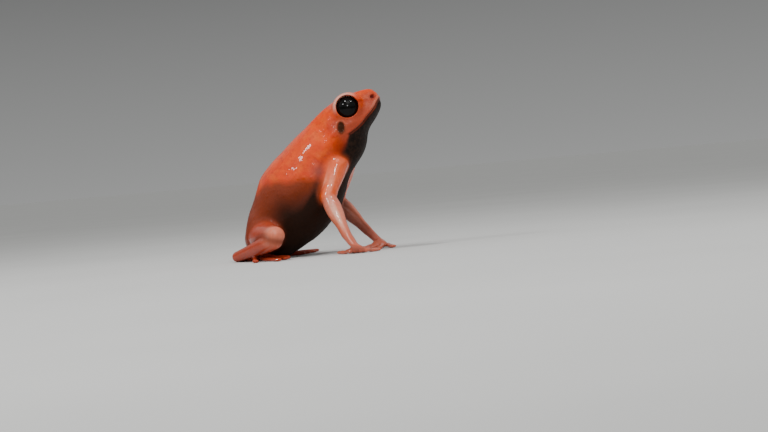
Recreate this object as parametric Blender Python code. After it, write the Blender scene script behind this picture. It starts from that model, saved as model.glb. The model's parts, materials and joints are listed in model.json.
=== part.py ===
"""A golden poison frog sitting upright on its haunches, life size, parted into its named pieces.

It faces +X, its left side is +Y and the floor is z = 0. Every size is in millimetres until the
last step, which scales the model to metres and sets the origin below the middle of its box.
"""

from math import cos, pi, radians, sin

import bmesh
import bpy
import numpy as np
from mathutils import Matrix, Vector

MM = 0.001
GAP = 0.3

SKIN_ORANGE = (0.72, 0.13, 0.025)
LIMB_CORAL = (0.66, 0.17, 0.08)
BELLY_RUST = (0.22, 0.045, 0.02)
TYMPANUM_BROWN = (0.14, 0.03, 0.012)
EYE_BLACK = (0.008, 0.008, 0.01)

SIDES = {"right": -1, "left": 1}

# Head frame: its origin is the corner of the mouth on the midline, X runs to the snout.
MOUTH_CORNER = Vector((14.6, 0, 26.3))
HEAD_PITCH = radians(38)
HEAD_AXES = Matrix.Rotation(-HEAD_PITCH, 3, "Y")
NECK_X = -5.0

RING_POINTS = 32
TRUNK_RINGS_PER_SPAN = 2
HEAD_RINGS_PER_SPAN = 3

# Trunk stations from the vent to the shoulders: back line (x, z), belly line (x, z),
# half width, and how far the section is pear shaped, widest low down.
TRUNK_STATIONS = [
    ((-11.9, 3.9), (-11.3, 2.7), 1.5, 0.0),
    ((-11.7, 5.5), (-10.0, 1.4), 3.5, 0.0),
    ((-11.1, 8.2), (-7.3, 0.35), 5.1, 0.1),
    ((-10.3, 10.6), (-4.6, -0.25), 6.5, 0.2),
    ((-9.2, 12.9), (-1.6, 0.8), 7.5, 0.25),
    ((-8.2, 15.5), (1.5, 2.5), 8.2, 0.25),
    ((-7.0, 18.1), (4.6, 4.4), 8.6, 0.22),
    ((-4.5, 20.9), (7.3, 6.9), 8.7, 0.17),
    ((-1.6, 23.4), (9.6, 9.9), 8.4, 0.12),
    ((1.0, 25.7), (11.2, 13.2), 7.8, 0.07),
    ((3.6, 27.8), (12.3, 16.3), 7.2, 0.03),
]
FLANK_FULLNESS = 0.88

# Head stations along the head's X: crown height, ridge over the cheek (half width, height),
# upper lip (half width, height), lower jaw (half width, height), and throat height.
HEAD_STATIONS = [
    (-5.0, 7.95, (4.8, 5.7), (6.9, 0.7), (5.4, -3.6), -5.5),
    (-2.2, 8.0, (4.8, 6.0), (6.7, 1.1), (5.1, -2.9), -4.8),
    (0.0, 7.85, (4.8, 5.9), (6.4, 1.1), (4.9, -2.0), -3.6),
    (1.6, 7.6, (4.7, 5.6), (6.1, 0.9), (4.8, -1.1), -2.2),
    (3.0, 7.25, (4.3, 5.2), (5.6, 0.8), (4.7, -0.8), -1.55),
    (5.6, 6.25, (3.1, 4.9), (4.5, 0.9), (3.8, -0.35), -0.9),
    (7.3, 5.45, (2.4, 4.4), (3.3, 1.1), (2.7, 0.05), -0.3),
    (8.4, 4.8, (1.8, 3.9), (2.3, 1.7), (1.7, 0.7), 0.4),
    (9.0, 4.2, (1.2, 3.5), (1.4, 2.2), (1.0, 1.6), 1.3),
]
SNOUT_TIP = (9.3, 2.9)

# Mouth line from its corner to the snout, (X, Z) in the head frame, and where the cut that
# frees the jaw and throat meets the neck.
MOUTH_LINE = [
    (-0.3, -0.45),
    (1.5, -0.6),
    (3.1, -0.55),
    (4.8, -0.2),
    (6.3, 0.1),
    (7.4, 0.45),
    (8.4, 1.05),
    (9.9, 2.0),
]
THROAT_CUT = [(9.9, -9.0), (-7.0, -9.0), (-7.0, -2.6), (-3.2, -1.4)]

EYE_CENTRE = (2.85, 3.55, 4.12)
EYE_RADIUS = 2.75
LID_CENTRE = (2.75, 3.75, 4.15)
LID_RADII = (3.68, 2.95, 3.45)
EYE_FACING = Vector((0.2, 1.0, 0.12))
EYE_OPENING = 2.5

NOSTRIL = (8.3, 2.05, 2.55)
NOSTRIL_FACING = Vector((0.45, 1.0, 0.15))
NOSTRIL_RADIUS = 0.4
NOSTRIL_DEPTH = 0.8

TYMPANUM = (-0.75, 6.35, 1.9)
TYMPANUM_FACING = Vector((0.1, 1.0, 0.12))
TYMPANUM_RADIUS = 1.15
TYMPANUM_DEPTH = 0.9

# Arms: shoulder, elbow, wrist, heel of the hand and knuckles, as (forward, outward, up). The
# left hand is planted further forward than the right one.
ARMS = {
    "right": ((11.1, 4.9, 19.2), (9.0, 7.6, 12.4), (12.9, 10.8, 4.2), (14.5, 10.9, 1.7), (14.9, 9.6, 0.65)),
    "left": ((10.9, 4.9, 19.0), (7.8, 8.2, 11.4), (13.5, 11.2, 4.1), (15.6, 11.3, 1.7), (16.1, 10.0, 0.65)),
}
UPPER_ARM_RADII = [2.3, 2.1, 1.7, 1.7]
FOREARM_RADII = [1.6, 1.85, 1.65, 1.25, 1.1]
PALM_ACROSS = [1.1, 1.25, 1.6, 2.2]
PALM_THICK = [1.05, 0.9, 0.75, 0.6]
# Fingers 1 to 4: length, and the angle that each points from straight ahead to the midline.
FINGERS = [(4.2, 130), (3.9, 108), (6.0, 87), (4.2, 64)]
HAND_HEADING = radians(95)
FINGER_SPREAD = 1.36

# Legs: hip, knee and ankle. Each leg folds into a Z, with its foot flat on the floor.
HIP = (-7.9, 3.0, 4.75)
KNEE = (-1.0, 17.9, 5.45)
SHANK_TOP = (-1.3, 17.8, 4.3)
ANKLE = (-12.7, 5.8, 1.2)
HEEL = (-12.5, 4.4, 0.95)
SOLE_END = (-6.3, 8.8, 0.85)
THIGH_RADII = [2.7, 3.05, 2.8, 2.35, 1.95]
SHANK_RADII = [1.7, 1.8, 1.55, 1.3, 1.15]
FOOT_ACROSS = [1.1, 1.0, 1.25, 2.5]
FOOT_THICK = [1.0, 0.85, 0.8, 0.6]
# Toes 1 to 5: length, and the angle that each points from straight ahead to the outside.
TOES = [(4.6, 16), (6.6, 30), (9.6, 44), (13.0, 57), (8.6, 76)]
TOE_SPREAD = 1.16

DIGIT_THICK = [0.5, 0.46, 0.42, 0.46, 0.38, 0.34]
DIGIT_ACROSS = [0.52, 0.5, 0.46, 0.54, 0.5, 0.78]
DIGIT_ROOT_HEIGHT = 0.6
DIGIT_REST_HEIGHT = 0.38


def clear_scene():
    for obj in list(bpy.data.objects):
        bpy.data.objects.remove(obj)


def material(name, colour, roughness):
    made = bpy.data.materials.new(name)
    made.use_nodes = True
    shader = made.node_tree.nodes["Principled BSDF"]
    shader.inputs["Base Color"].default_value = (*colour, 1)
    shader.inputs["Roughness"].default_value = roughness
    shader.inputs["Metallic"].default_value = 0
    return made


def mesh_object(name, rings, tips):
    """A closed object lofted through rings of points. tips are the poles at its two ends,
    or None where that end is a flat cap."""
    bm = bmesh.new()
    loops = [[bm.verts.new(p) for p in ring] for ring in rings]
    for lower, upper in zip(loops, loops[1:]):
        for i in range(len(lower)):
            j = (i + 1) % len(lower)
            bm.faces.new((lower[i], lower[j], upper[j], upper[i]))
    for loop, tip in zip((loops[0], loops[-1]), tips):
        if tip is None:
            bm.faces.new(loop)
            continue
        pole = bm.verts.new(tip)
        for i in range(len(loop)):
            bm.faces.new((pole, loop[i], loop[(i + 1) % len(loop)]))
    bmesh.ops.recalc_face_normals(bm, faces=bm.faces)
    mesh = bpy.data.meshes.new(name)
    bm.to_mesh(mesh)
    bm.free()
    mesh.shade_smooth()
    obj = bpy.data.objects.new(name, mesh)
    bpy.context.scene.collection.objects.link(obj)
    return obj


def spline(values, count):
    """count values evenly spaced along a Catmull-Rom curve through the given ones."""
    given = np.array(values, float)
    padded = np.concatenate([[2 * given[0] - given[1]], given, [2 * given[-1] - given[-2]]])
    made = []
    for t in np.linspace(0, len(given) - 1, count):
        k = min(int(t), len(given) - 2)
        f = t - k
        a, b, c, d = padded[k : k + 4]
        made.append(b + 0.5 * f * (c - a + f * (2 * a - 5 * b + 4 * c - d + f * (3 * (b - c) + d - a))))
    return np.array(made)


def tube(name, path, across, thick, up, sides=14, rings=11):
    """A limb: an oval tube along a path, with rounded ends. up is the way its thickness faces."""
    centres = [Vector(p) for p in spline(path, rings)]
    wide = spline(across, rings)
    high = spline(thick, rings)
    loops = []
    ends = []
    for k, centre in enumerate(centres):
        before = centres[max(k - 1, 0)]
        after = centres[min(k + 1, rings - 1)]
        along = (after - before).normalized()
        side = up.cross(along).normalized()
        top = along.cross(side)
        frame = (centre, along, side, top, wide[k], high[k])
        loops.append(oval(frame, 1, 0, sides))
        ends.append(frame)
    start, end = ends[0], ends[-1]
    loops[:0] = [oval(start, cos(a), -sin(a), sides) for a in (radians(60), radians(30))]
    loops += [oval(end, cos(a), sin(a), sides) for a in (radians(30), radians(60))]
    return mesh_object(name, loops, [pole(start, -1), pole(end, 1)])


def oval(frame, shrink, ahead, sides):
    centre, along, side, top, wide, high = frame
    reach = along * (min(wide, high) * ahead)
    turn = [2 * pi * i / sides for i in range(sides)]
    return [centre + reach + side * (wide * shrink * cos(t)) + top * (high * shrink * sin(t)) for t in turn]


def pole(frame, direction):
    centre, along, _, _, wide, high = frame
    return centre + along * (min(wide, high) * direction)


def from_head(x, y, z):
    return MOUTH_CORNER + HEAD_AXES @ Vector((x, y, z))


def trunk_ring(back, belly, half_width, pear):
    """A section of the trunk, in the plane through its back and belly points."""
    top, low = Vector((back[0], 0, back[1])), Vector((belly[0], 0, belly[1]))
    middle, half = (top + low) / 2, (top - low) / 2
    ring = []
    for i in range(RING_POINTS):
        t = 2 * pi * i / RING_POINTS
        out = abs(sin(t)) ** FLANK_FULLNESS * (1 if sin(t) >= 0 else -1)
        ring.append(middle + half * cos(t) + Vector((0, half_width * out * (1 - pear * cos(t)), 0)))
    return ring


def head_ring(x, crown, ridge, lip, jaw, throat):
    """A section of the head, a closed curve through the named points and their mirror images."""
    ridge_y, ridge_z = ridge
    lip_y, lip_z = lip
    jaw_y, jaw_z = jaw
    half = [
        (0, crown),
        (0.55 * ridge_y, crown - 0.12 * (crown - ridge_z)),
        (ridge_y, ridge_z),
        (0.42 * ridge_y + 0.58 * lip_y, 0.5 * (ridge_z + lip_z)),
        (lip_y, lip_z),
        (jaw_y, jaw_z),
        (0.55 * jaw_y, 0.2 * jaw_z + 0.8 * throat),
        (0, throat),
    ]
    outline = half + [(-y, z) for y, z in half[-2:0:-1]]
    closed = outline[-2:] + outline + outline[:3]
    dense = spline(closed, 16 * (len(closed) - 1) + 1)[32 : 32 + 16 * len(outline)]
    middle = (crown + throat) / 2
    angle = np.unwrap(np.arctan2(dense[:, 0] / lip_y, (dense[:, 1] - middle) / (crown - middle)))
    wanted = 2 * pi * np.arange(RING_POINTS) / RING_POINTS
    around = np.concatenate([angle - 2 * pi, angle, angle + 2 * pi])
    y = np.interp(wanted, around, np.tile(dense[:, 0], 3))
    z = np.interp(wanted, around, np.tile(dense[:, 1], 3))
    return [from_head(x, *p) for p in zip(y, z)]


def through(stations, per_span):
    """The given rings with more between them, each point on a smooth curve along the body."""
    rings = np.array([[tuple(p) for p in ring] for ring in stations])
    return spline(rings, per_span * (len(rings) - 1) + 1)


def ellipsoid(name, centre, radii, segments=22, rows=12):
    """Closed ellipsoid lying along the head's axes, its poles to the sides."""
    loops = []
    for k in range(1, rows):
        a = pi * k / rows
        turn = [2 * pi * i / segments for i in range(segments)]
        circle = [(sin(a) * cos(t), -cos(a), sin(a) * sin(t)) for t in turn]
        loops.append([centre + HEAD_AXES @ Vector(np.multiply(p, radii)) for p in circle])
    tips = (centre - Vector((0, radii[1], 0)), centre + Vector((0, radii[1], 0)))
    return mesh_object(name, loops, tips)


def plug(name, centre, facing, radius, inward, outward, segments):
    """Round rod through centre along facing, from inward to outward of it."""
    along = facing.normalized()
    side = along.cross(Vector((0, 0, 1))).normalized()
    top = side.cross(along)
    turn = [2 * pi * i / segments for i in range(segments)]
    circle = [side * (radius * cos(t)) + top * (radius * sin(t)) for t in turn]
    loops = [[centre + along * reach + p for p in circle] for reach in (-inward, outward)]
    return mesh_object(name, loops, (None, None))


def combine(piece, other, operation):
    """Applies one Boolean to piece. The other object is used up."""
    cut = piece.modifiers.new("combine", "BOOLEAN")
    cut.operation = operation
    cut.solver = "EXACT"
    cut.object = other
    graph = bpy.context.evaluated_depsgraph_get()
    made = bpy.data.meshes.new_from_object(piece.evaluated_get(graph))
    piece.modifiers.remove(cut)
    piece.data = made
    bpy.data.objects.remove(other)


def grown(obj, margin=GAP):
    """A copy of obj, larger all round by the margin."""
    copy = bpy.data.objects.new("cutter", obj.data.copy())
    bpy.context.scene.collection.objects.link(copy)
    normals = [v.normal.copy() for v in copy.data.vertices]
    for vertex, normal in zip(copy.data.vertices, normals):
        vertex.co += normal * margin
    return copy


def part_from(piece, *neighbours):
    """Cuts piece back until it is a gap away from each neighbour, and keeps its largest body."""
    for neighbour in neighbours:
        combine(piece, grown(neighbour), "DIFFERENCE")
    keep_largest(piece)


def keep_largest(piece):
    bm = bmesh.new()
    bm.from_mesh(piece.data)
    left = set(bm.verts)
    bodies = []
    while left:
        body, edge = set(), [left.pop()]
        while edge:
            vertex = edge.pop()
            body.add(vertex)
            for link in vertex.link_edges:
                other = link.other_vert(vertex)
                if other in left:
                    left.remove(other)
                    edge.append(other)
        bodies.append(body)
    bodies.sort(key=len)
    for body in bodies[:-1]:
        bmesh.ops.delete(bm, geom=list(body), context="VERTS")
    bm.to_mesh(piece.data)
    bm.free()


def set_on_floor(piece):
    """Presses whatever reaches below the floor into a small flat."""
    for vertex in piece.data.vertices:
        vertex.co.z = max(vertex.co.z, 0)


def at(point, side):
    forward, outward, height = point
    return Vector((forward, side * outward, height))


def build_trunk_and_head():
    """One skin from the vent to the snout, parted at the neck."""
    trunk = [trunk_ring(*station) for station in TRUNK_STATIONS]
    head = [head_ring(*station) for station in HEAD_STATIONS]
    rings = through(trunk + head, 1)
    trunk_rings = through(rings, TRUNK_RINGS_PER_SPAN)[: TRUNK_RINGS_PER_SPAN * len(trunk) + 1]
    head_start = HEAD_RINGS_PER_SPAN * len(trunk)
    head_rings = through(rings, HEAD_RINGS_PER_SPAN)[head_start:]
    half_gap = np.array(HEAD_AXES @ Vector((GAP / 2, 0, 0)))
    trunk_rings[-1] -= half_gap
    head_rings[0] += half_gap
    vent = sum((Vector(p) for p in trunk_rings[0]), Vector()) / RING_POINTS - Vector((0.35, 0, 0.1))
    torso = mesh_object("torso", [list(map(Vector, r)) for r in trunk_rings], (vent, None))
    snout = from_head(SNOUT_TIP[0], 0, SNOUT_TIP[1])
    head = mesh_object("head", [list(map(Vector, r)) for r in head_rings], (None, snout))
    set_on_floor(torso)
    return torso, head


def jaw_block(drop):
    """Everything below the mouth line and the throat's upper edge, as a cutter, moved down by
    drop to leave room."""
    outline = [(x, z - drop) for x, z in MOUTH_LINE + THROAT_CUT]
    width = 9.0
    loops = [[from_head(x, side * width, z) for x, z in outline] for side in (-1, 1)]
    return mesh_object("jaw_block", loops, (None, None))


def build_face(head):
    """Parts the lower jaw off the head, then sets in the lids, eyes, eardrums and nostrils."""
    jaw = bpy.data.objects.new("lower_jaw", head.data.copy())
    bpy.context.scene.collection.objects.link(jaw)
    combine(jaw, jaw_block(GAP / 2), "INTERSECT")
    combine(head, jaw_block(-GAP / 2), "DIFFERENCE")
    keep_largest(jaw)
    for side in SIDES.values():
        combine(head, ellipsoid("lid", placed(LID_CENTRE, side), LID_RADII), "UNION")
    pieces = [jaw]
    for name, side in SIDES.items():
        centre = placed(EYE_CENTRE, side)
        combine(head, ellipsoid("socket", centre, [EYE_RADIUS + GAP] * 3), "DIFFERENCE")
        opening = plug("opening", centre, facing(EYE_FACING, side), EYE_OPENING, 0, 6, 24)
        combine(head, opening, "DIFFERENCE")
        pieces.append(ellipsoid(f"eye_{name}", centre, [EYE_RADIUS] * 3))
        nostril = plug("nostril", placed(NOSTRIL, side), facing(NOSTRIL_FACING, side),
                       NOSTRIL_RADIUS, NOSTRIL_DEPTH, 2, 10)
        combine(head, nostril, "DIFFERENCE")
        drum_at, drum_facing = placed(TYMPANUM, side), facing(TYMPANUM_FACING, side)
        pocket = plug("pocket", drum_at, drum_facing, TYMPANUM_RADIUS + GAP, TYMPANUM_DEPTH + GAP, 2, 20)
        combine(head, pocket, "DIFFERENCE")
        pieces.append(plug(f"tympanum_{name}", drum_at, drum_facing, TYMPANUM_RADIUS, TYMPANUM_DEPTH, 0, 20))
    keep_largest(head)
    return pieces


def placed(point, side):
    x, y, z = point
    return from_head(x, side * y, z)


def facing(direction, side):
    x, y, z = direction
    return HEAD_AXES @ Vector((x, side * y, z))


def digit(name, root, heading, length, side):
    """One finger or toe: it drops from the palm or sole, lies flat, and ends in a round pad."""
    ahead = Vector((cos(radians(heading)), side * sin(radians(heading)), 0))
    share = (-0.16, 0.12, 0.3, 0.58, 0.82, 0.94)
    path = [root + ahead * (length * s) for s in share]
    for k, point in enumerate(path):
        point.z = DIGIT_ROOT_HEIGHT if k < 2 else DIGIT_REST_HEIGHT
    made = tube(name, path, DIGIT_ACROSS, DIGIT_THICK, Vector((0, 0, 1)), sides=10, rings=9)
    set_on_floor(made)
    return made


def build_arm(name, side, body):
    """Upper arm, forearm, palm and four fingers. body is what the arm must stay clear of."""
    shoulder, elbow, wrist, palm_heel, knuckles = (at(p, side) for p in ARMS[name])
    ahead = Vector((1, 0, 0))
    upper = tube(f"upper_arm_{name}", [shoulder, (shoulder * 2 + elbow) / 3, (shoulder + elbow * 2) / 3, elbow],
                 UPPER_ARM_RADII, UPPER_ARM_RADII, ahead)
    part_from(upper, *body)
    lower = tube(f"forearm_{name}", [elbow, wrist], FOREARM_RADII, FOREARM_RADII, ahead)
    part_from(lower, upper)
    palm = tube(f"hand_{name}", [wrist, palm_heel, knuckles], PALM_ACROSS, PALM_THICK, Vector((0, 0, 1)))
    set_on_floor(palm)
    part_from(palm, lower)
    pieces = [upper, lower, palm]
    knuckle_line = Vector((sin(HAND_HEADING), side * cos(HAND_HEADING), 0))
    for number, (length, angle) in enumerate(FINGERS, 1):
        root = knuckles + knuckle_line * (FINGER_SPREAD * (number - 2.5))
        finger = digit(f"finger_{number}_{name}", root, -angle, length, side)
        part_from(finger, palm)
        pieces.append(finger)
    return pieces


def build_leg(name, side, body):
    """Thigh, shank, foot and five toes. body is what the leg must stay clear of."""
    hip, knee, shank_top, ankle, heel, sole_end = (
        at(p, side) for p in (HIP, KNEE, SHANK_TOP, ANKLE, HEEL, SOLE_END)
    )
    up = Vector((0, 0, 1))
    thigh = tube(f"thigh_{name}", [hip, knee], THIGH_RADII, THIGH_RADII, up)
    part_from(thigh, *body)
    shank = tube(f"shank_{name}", [shank_top, ankle], SHANK_RADII, SHANK_RADII, up)
    part_from(shank, thigh, *body)
    foot = tube(f"foot_{name}", [heel, heel.lerp(sole_end, 0.5), sole_end], FOOT_ACROSS, FOOT_THICK, up)
    set_on_floor(foot)
    part_from(foot, shank, *body)
    pieces = [thigh, shank, foot]
    spread = (sole_end - heel).cross(up).normalized() * side
    for number, (length, angle) in enumerate(TOES, 1):
        root = sole_end - spread * (TOE_SPREAD * (number - 3))
        toe = digit(f"toe_{number}_{name}", root, angle, length, side)
        part_from(toe, foot, shank)
        pieces.append(toe)
    return pieces


def finish(pieces):
    """Scales to metres, with the origin on the floor below the middle of the model's box."""
    corners = np.array([tuple(v.co) for obj in pieces for v in obj.data.vertices])
    low, high = corners.min(0), corners.max(0)
    middle = (low + high) / 2
    move = Matrix.Translation((-middle[0] * MM, -middle[1] * MM, -low[2] * MM)) @ Matrix.Scale(MM, 4)
    for obj in pieces:
        obj.data.transform(move)
        obj.data.set_sharp_from_angle(angle=radians(50))


def main():
    clear_scene()
    torso, head = build_trunk_and_head()
    face = build_face(head)
    body = (torso, head, face[0])
    pieces = [torso, head, *face]
    for name, side in SIDES.items():
        pieces += build_arm(name, side, body)
        pieces += build_leg(name, side, (torso,))
    finish(pieces)
    looks = {
        "torso": material("back_skin", SKIN_ORANGE, 0.35),
        "lower_jaw": material("throat_skin", BELLY_RUST, 0.4),
        "eye": material("eye_gloss", EYE_BLACK, 0.05),
        "tympanum": material("eardrum", TYMPANUM_BROWN, 0.35),
        "limb": material("limb_skin", LIMB_CORAL, 0.35),
    }
    for obj in pieces:
        kind = obj.name.rsplit("_", 1)[0]
        look = looks.get(obj.name) or looks.get(kind)
        look = look or (looks["torso"] if obj.name == "head" else looks["limb"])
        obj.data.materials.clear()
        obj.data.materials.append(look)


main()
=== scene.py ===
"""Looks of the golden poison frog: one wet skin over the whole animal, glossy eyes, studio.

Shapes are made in millimetres, in the frame of the part's tables, and move to the row frame at
the end. The frog faces +X, its left side is +Y and the floor is z = 0.
"""

import json
from math import cos, pi, radians, sin

import bmesh
import bpy
import numpy as np
from mathutils import Matrix, Vector
from mathutils.bvhtree import BVHTree
from mathutils.kdtree import KDTree

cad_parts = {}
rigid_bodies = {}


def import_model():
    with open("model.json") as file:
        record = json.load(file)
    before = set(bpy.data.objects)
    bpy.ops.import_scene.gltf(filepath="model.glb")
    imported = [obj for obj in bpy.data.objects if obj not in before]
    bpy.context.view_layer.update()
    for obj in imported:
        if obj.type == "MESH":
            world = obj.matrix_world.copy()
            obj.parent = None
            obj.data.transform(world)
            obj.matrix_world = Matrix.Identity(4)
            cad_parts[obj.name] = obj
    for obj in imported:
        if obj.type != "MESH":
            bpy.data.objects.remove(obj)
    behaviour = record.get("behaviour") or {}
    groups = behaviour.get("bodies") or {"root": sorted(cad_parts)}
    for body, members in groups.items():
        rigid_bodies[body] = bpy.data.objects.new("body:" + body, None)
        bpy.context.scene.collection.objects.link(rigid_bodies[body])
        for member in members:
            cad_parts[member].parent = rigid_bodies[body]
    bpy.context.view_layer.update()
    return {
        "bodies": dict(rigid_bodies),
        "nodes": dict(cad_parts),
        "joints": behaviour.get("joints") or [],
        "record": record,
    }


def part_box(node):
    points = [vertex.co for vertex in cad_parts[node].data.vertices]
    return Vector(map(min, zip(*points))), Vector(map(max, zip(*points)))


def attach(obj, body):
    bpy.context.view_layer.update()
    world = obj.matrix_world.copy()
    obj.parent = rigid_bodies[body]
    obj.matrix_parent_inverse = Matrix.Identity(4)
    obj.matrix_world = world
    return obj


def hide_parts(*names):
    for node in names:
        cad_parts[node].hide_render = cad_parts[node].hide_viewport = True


MM = 0.001
SIDES = {"right": -1, "left": 1}
UP = Vector((0, 0, 1))
AHEAD = Vector((1, 0, 0))

MOUTH_CORNER = Vector((14.6, 0, 26.3))
HEAD_PITCH = radians(38)
HEAD_AXES = Matrix.Rotation(-HEAD_PITCH, 3, "Y")

RING_POINTS = 128
# Points a span while a ring of the head is evened out.
RING_SAMPLES = 16
RINGS_PER_SPAN = 10
SKIN_CELL = 0.13
# Share of each smoothing step that is taken, and of a move inwards where only creases are filled.
SMOOTHING_STEP = 0.6
WEAR = 0.12
FIRST_SMOOTHING = 4
# How far the painted shade of the creases reaches behind the knee, at the hip and in the armpit.
CREASE_SHADE_REACH = 1.8
ARMPIT_SHADE_REACH = 1.6

GRAIN_COUNT = 1400
GRAIN_HEIGHT = 0.045
GRAIN_RADII = (0.2, 0.42)
# Grains grow above this height and behind this place along the head.
GRAINS_ABOVE = 4
GRAINS_BEHIND = -0.5
# Slow waves of the skin's surface, and of the edges between its dark and pale parts.
WAVES = 9
SKIN_WAVE_LENGTH = 3.6
SKIN_WAVE_HEIGHT = 0.02
EDGE_WAVE_LENGTH = 4.5

# Trunk stations: back line (x, z), belly line (x, z), half width, pear shape.
TRUNK_STATIONS = [
    ((-11.9, 3.9), (-11.3, 2.7), 1.5, 0.0),
    ((-11.7, 5.5), (-10.0, 1.4), 3.5, 0.0),
    ((-11.1, 8.2), (-7.3, 0.35), 5.1, 0.1),
    ((-10.3, 10.6), (-4.6, -0.25), 6.5, 0.2),
    ((-9.2, 12.9), (-1.6, 0.8), 7.5, 0.25),
    ((-8.2, 15.5), (1.5, 2.5), 8.2, 0.25),
    ((-7.0, 18.1), (4.6, 4.4), 8.6, 0.22),
    ((-4.5, 20.9), (7.3, 6.9), 8.7, 0.17),
    ((-1.6, 23.4), (9.6, 9.9), 8.4, 0.12),
    ((1.0, 25.7), (11.2, 13.2), 7.8, 0.07),
    ((3.6, 27.8), (12.3, 16.3), 7.2, 0.03),
]
FLANK_FULLNESS = 0.88
# From the middle of the first ring back to the vent.
VENT_REACH = Vector((0.35, 0, 0.1))

# Head stations: x, crown, ridge over the cheek, upper lip, lower jaw, throat.
HEAD_STATIONS = [
    (-5.0, 7.95, (4.8, 5.7), (6.9, 0.7), (5.4, -3.6), -5.5),
    (-2.2, 8.0, (4.8, 6.0), (6.7, 1.1), (5.1, -2.9), -4.8),
    (0.0, 7.85, (4.8, 5.9), (6.4, 1.1), (4.9, -2.0), -3.6),
    (1.6, 7.6, (4.7, 5.6), (6.1, 0.9), (4.8, -1.1), -2.2),
    (3.0, 7.25, (4.3, 5.2), (5.6, 0.8), (4.7, -0.8), -1.55),
    (5.6, 6.25, (3.1, 4.9), (4.5, 0.9), (3.8, -0.35), -0.9),
    (7.3, 5.45, (2.4, 4.4), (3.3, 1.1), (2.7, 0.05), -0.3),
    (8.4, 4.8, (1.8, 3.9), (2.3, 1.7), (1.7, 0.7), 0.4),
    (9.0, 4.2, (1.2, 3.5), (1.4, 2.2), (1.0, 1.6), 1.3),
]
SNOUT_TIP = (9.3, 2.9)
MOUTH_LINE = [
    (-0.3, -0.45),
    (1.5, -0.6),
    (3.1, -0.55),
    (4.8, -0.2),
    (6.3, 0.1),
    (7.4, 0.45),
    (8.4, 1.05),
    (9.9, 2.0),
]

EYE_CENTRE = (2.85, 3.55, 4.12)
EYE_RADIUS = 2.75
LID_CENTRE = (2.75, 3.75, 4.15)
LID_RADII = (3.68, 2.95, 3.45)
EYE_FACING = Vector((0.2, 1.0, 0.12))
EYE_OPENING = 2.5
SOCKET_CLEARANCE = 0.02
OPENING_REACH = 7
LID_RIM_RADIUS = 0.17
# How far the rolled edge of the lids stands off the eyeball and the opening.
LID_RIM_OFFSET = 0.1

# Depths and heights of the face's details.
MOUTH_DEPTH = 0.24
MOUTH_WIDTH = 0.17
UPPER_LIP_RISE = 0.09
UNDER_LIP_DEPTH = 0.14
NOSTRIL = (8.3, 2.05, 2.55)
NOSTRIL_RADIUS = 0.42
NOSTRIL_SHADE_RADIUS = 0.68
NOSTRIL_DEPTH = 0.45
NOSTRIL_RIM_RISE = 0.08
# The hollow under the ridge from the eye to the nostril, (X, Z) in the head frame.
SNOUT_FOLD = [(5.5, 3.75), (7.5, 2.2)]
FOLD_DEPTH = 0.06
FOLD_WIDTH = 0.45
TYMPANUM = (-0.75, 6.35, 1.9)
DRUM_RADII = (0.92, 1.18)
DRUM_CORE_RADII = (1.08, 1.7)
DRUM_DEPTH = 0.16
DRUM_RING_RISE = 0.11
# Middle and radius of the grey patch of painted shade above the armpit.
ARMPIT_SHADOW = (7.4, 7.6, 18.3)
ARMPIT_SHADOW_RADIUS = 1.7
# Heights over which the orange back turns into the flank's painted shade, and the flank into the dark belly,
# which is partly its own dark colour and partly painted shade.
FLANK_SHADE_EDGE = (15.6, 18.0)
DARK_BELLY_AND_SHADE_EDGE = (9.0, 17.5)
# Where the throat's colour ends behind, along the head.
THROAT_END = -6.5
# Pale bands of painted highlight on the arms: strength, height, half width.
FOREARM_HIGHLIGHT_BAND = (0.85, 8.9, 2.9)
PAINTED_SHEEN_BANDS = [(0.75, 8.6, 3.0), (0.3, 15.5, 2.5)]
# Radius of the painted highlight on the knee.
KNEE_HIGHLIGHT_RADIUS = 2.6

# Shoulder, elbow, wrist, heel of the hand and knuckles: forward, outward, height.
ARMS = {
    "right": ((11.1, 4.9, 19.2), (9.0, 7.6, 12.4), (12.9, 10.8, 4.2), (14.5, 10.9, 1.7), (14.9, 9.6, 0.65)),
    "left": ((10.9, 4.9, 19.0), (7.8, 8.2, 11.4), (13.5, 11.2, 4.1), (15.6, 11.3, 1.7), (16.1, 10.0, 0.65)),
}
# Angles of the rings that round a limb's end, in degrees.
ROUND_END = (12, 24, 36, 48, 60, 72, 82)
# Radii along each limb from its root.
UPPER_ARM_RADII = [2.3, 2.1, 1.7, 1.7]
FOREARM_RADII = [1.6, 1.85, 1.65, 1.25, 1.1]
PALM_ACROSS = [1.1, 1.25, 1.6, 2.2]
PALM_THICK = [1.05, 0.9, 0.75, 0.6]
# Fingers, and toes below: length, and heading in degrees.
FINGERS = [(4.2, 130), (3.9, 108), (6.0, 87), (4.2, 64)]
HAND_HEADING = radians(95)
FINGER_SPREAD = 1.36

# Legs, the same on both sides: forward, outward, height.
HIP = (-7.9, 3.0, 4.75)
KNEE = (-1.0, 17.9, 5.45)
SHANK_TOP = (-1.3, 17.8, 4.3)
ANKLE = (-12.7, 5.8, 1.2)
HEEL = (-12.5, 4.4, 0.95)
SOLE_END = (-6.3, 8.8, 0.85)
THIGH_RADII = [2.7, 3.05, 2.8, 2.35, 1.95]
SHANK_RADII = [1.7, 1.8, 1.55, 1.3, 1.15]
FOOT_ACROSS = [1.1, 1.0, 1.25, 2.5]
FOOT_THICK = [1.0, 0.85, 0.8, 0.6]
TOES = [(4.6, 16), (6.6, 30), (9.6, 44), (13.0, 57), (8.6, 76)]
TOE_SPREAD = 1.16

# Stations along a finger or toe as shares of its length, and the radii there, upwards and across.
# The last is the pad.
DIGIT_STATIONS = (-0.16, 0.12, 0.3, 0.58, 0.82, 0.94)
DIGIT_THICK = [0.5, 0.46, 0.42, 0.46, 0.38, 0.34]
DIGIT_ACROSS = [0.52, 0.5, 0.46, 0.54, 0.5, 0.78]
DIGIT_ROOT_HEIGHT = 0.6
DIGIT_REST_HEIGHT = 0.38

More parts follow.
